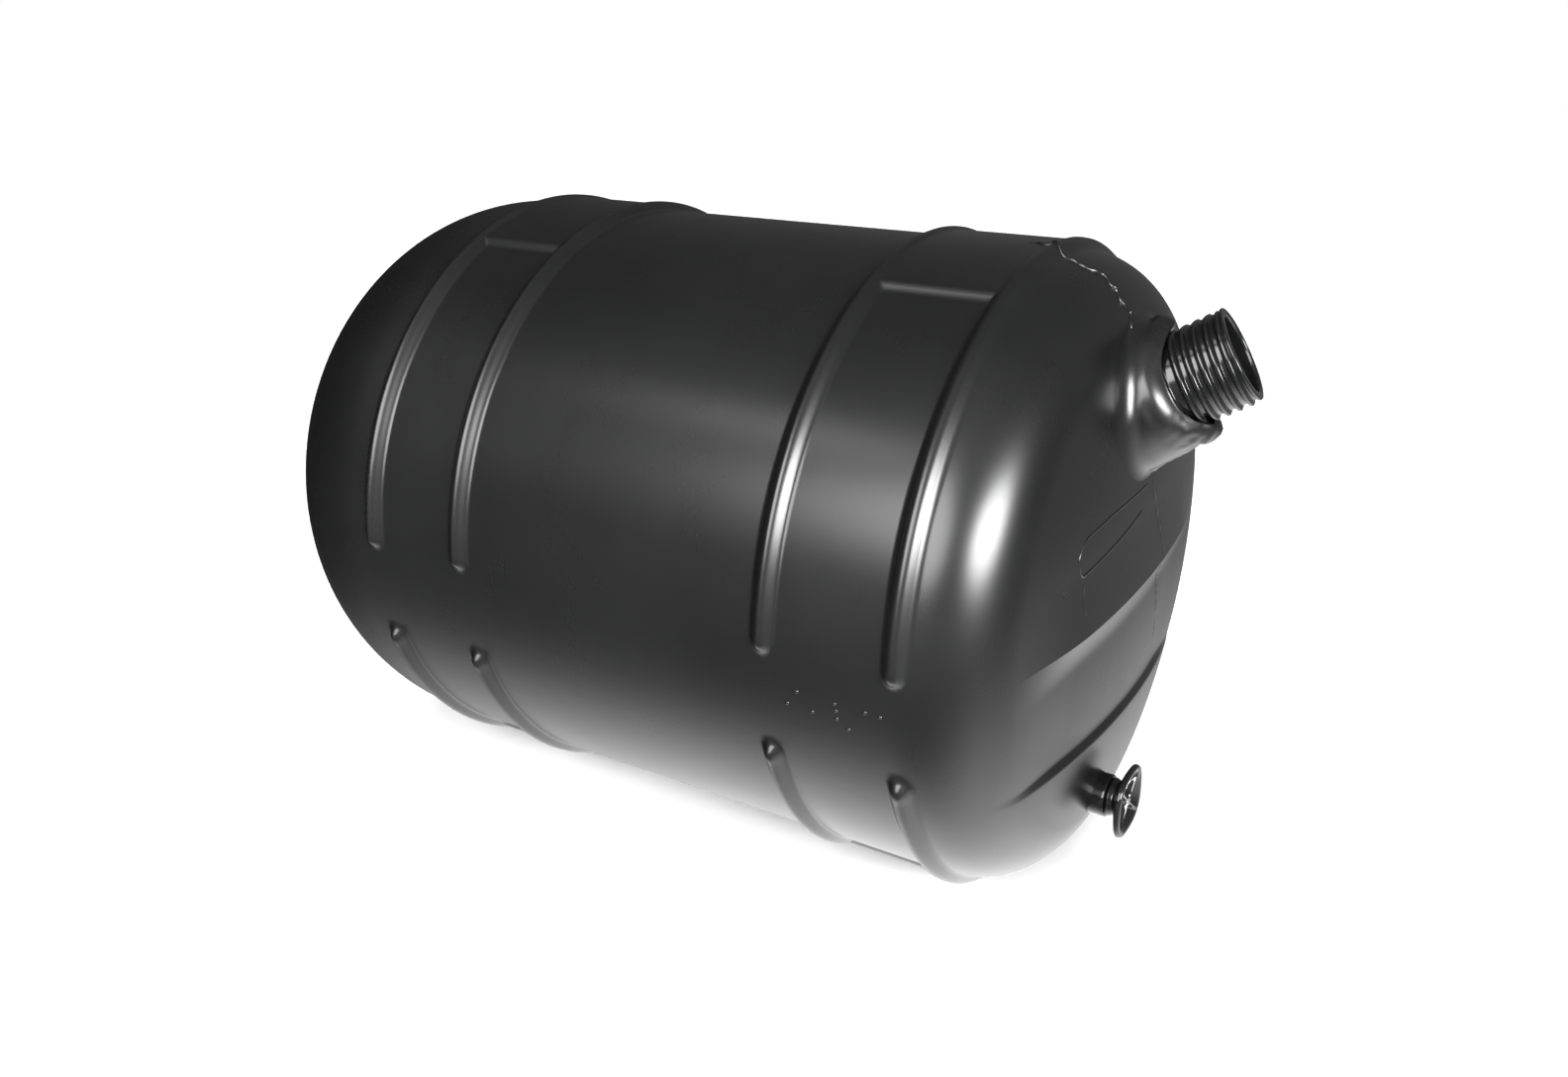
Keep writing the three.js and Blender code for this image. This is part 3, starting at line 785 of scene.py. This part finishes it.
def soft_light(name, azimuth, elevation, spread, radiance, distance=5.0, turn=0.0):
    """A soft box seen from the tank at an azimuth and elevation, spread (across, up) degrees wide."""
    data = bpy.data.lights.new(name, "AREA")
    data.shape = "ELLIPSE"
    data.size, data.size_y = (2 * distance * math.tan(math.radians(s / 2)) for s in spread)
    data.energy = radiance * math.pi * (math.pi / 4) * data.size * data.size_y
    lamp = bpy.data.objects.new(name, data)
    bpy.context.scene.collection.objects.link(lamp)
    a, e = math.radians(azimuth), math.radians(elevation)
    towards = Vector((math.cos(a) * math.cos(e), math.sin(a) * math.cos(e), math.sin(e)))
    lamp.location = Vector((0, 0, AXIS_Z)) + towards * distance
    lamp.rotation_mode = "QUATERNION"
    lamp.rotation_quaternion = towards.to_track_quat("Z", "Y") @ Quaternion((0, 0, 1), math.radians(turn))
    return lamp


def world(backdrop):
    """A dim studio, paler towards the front and above, against a white backdrop."""
    made = bpy.data.worlds.new("studio")
    bpy.context.scene.world = made
    made.use_nodes = True
    tree = made.node_tree

    def value(operation, *inputs):
        node = tree.nodes.new("ShaderNodeMath")
        node.operation = operation
        for socket, given in zip(node.inputs, inputs):
            if isinstance(given, (int, float)):
                socket.default_value = given
            else:
                tree.links.new(given, socket)
        return node.outputs["Value"]

    def eased(given, start, end, low, high):
        node = tree.nodes.new("ShaderNodeMapRange")
        node.interpolation_type = "SMOOTHSTEP"
        for key, number in (("From Min", start), ("From Max", end), ("To Min", low), ("To Max", high)):
            node.inputs[key].default_value = number
        tree.links.new(given, node.inputs["Value"])
        return node.outputs["Result"]

    split = tree.nodes.new("ShaderNodeSeparateXYZ")
    tree.links.new(tree.nodes.new("ShaderNodeTexCoord").outputs["Generated"], split.inputs["Vector"])
    x, y, z = split.outputs
    front = eased(y, 0.1, -0.75, 0.0, 1.0)
    left = eased(x, -0.92, -0.3, 0.05, 1.0)
    above = value("ADD", 0.15, value("MULTIPLY", front, eased(z, -0.1, 0.9, 0.15, 0.6)))
    near_floor = value("MULTIPLY", eased(z, -0.7, 0.0, 0.28, 0.7), front)
    far_floor = value("MULTIPLY", eased(z, -0.2, -0.9, 0.25, 2.6), value("SUBTRACT", 1.0, front))
    below = value("ADD", near_floor, far_floor)
    side = eased(z, -0.12, 0.0, 0.0, 1.0)
    above_part = value("MULTIPLY", above, side)
    below_part = value("MULTIPLY", below, value("SUBTRACT", 1.0, side))
    mixed = value("ADD", above_part, below_part)
    studio = tree.nodes["Background"]
    tree.links.new(value("MULTIPLY", mixed, left), studio.inputs["Strength"])
    studio.inputs["Color"].default_value = (1, 1, 1, 1)
    white = tree.nodes.new("ShaderNodeBackground")
    white.inputs["Color"].default_value = (1, 1, 1, 1)
    white.inputs["Strength"].default_value = backdrop
    seen = tree.nodes.new("ShaderNodeLightPath").outputs["Is Camera Ray"]
    mix = tree.nodes.new("ShaderNodeMixShader")
    tree.links.new(seen, mix.inputs["Fac"])
    tree.links.new(studio.outputs["Background"], mix.inputs[1])
    tree.links.new(white.outputs["Background"], mix.inputs[2])
    tree.links.new(mix.outputs["Shader"], tree.nodes["World Output"].inputs["Surface"])


def sun(strength):
    """Even light from above for the floor, which leaves no highlight of its own."""
    data = bpy.data.lights.new("overhead", "SUN")
    data.energy = strength
    data.angle = math.radians(60)
    lamp = bpy.data.objects.new("overhead", data)
    bpy.context.scene.collection.objects.link(lamp)
    lamp.visible_glossy = False


paper = Nodes("floor_paper")
paper_tone = paper.ramp(paper.noise(3), [(0, (0.86,) * 3), (1, (0.9,) * 3)])
paper.link(paper_tone, paper.shader.inputs["Base Color"])
paper.shader.inputs["Roughness"].default_value = 0.9
floor_paper = paper.material
floor()
world(1.0)
sun(3.4)
soft_light("side_window", -23, 14, (32, 22), 42)
soft_light("front_softbox", -90, 24, (50, 36), 12.0, turn=-12)
soft_light("left_softbox", -127, 42, (12, 10), 5.0)

bpy.context.scene.view_settings.view_transform = "Standard"

camera_data = bpy.data.cameras.new("camera")
camera_data.sensor_width = 36
camera_data.lens = 31.7
camera = bpy.data.objects.new("camera", camera_data)
bpy.context.scene.collection.objects.link(camera)
yaw, pitch, roll = (math.radians(a) for a in (31.4, 18.35, 1.66))
back = Vector((math.sin(yaw) * math.cos(pitch), -math.cos(yaw) * math.cos(pitch), math.sin(pitch)))
level = Vector((math.cos(yaw), math.sin(yaw), 0))
up = back.cross(level)
right = level * math.cos(roll) + up * math.sin(roll)
camera.rotation_mode = "QUATERNION"
camera.rotation_quaternion = Matrix((right, back.cross(right), back)).transposed().to_quaternion()
camera.location = (507.4 * MM, -793.8 * MM, 490.9 * MM)
bpy.context.scene.camera = camera
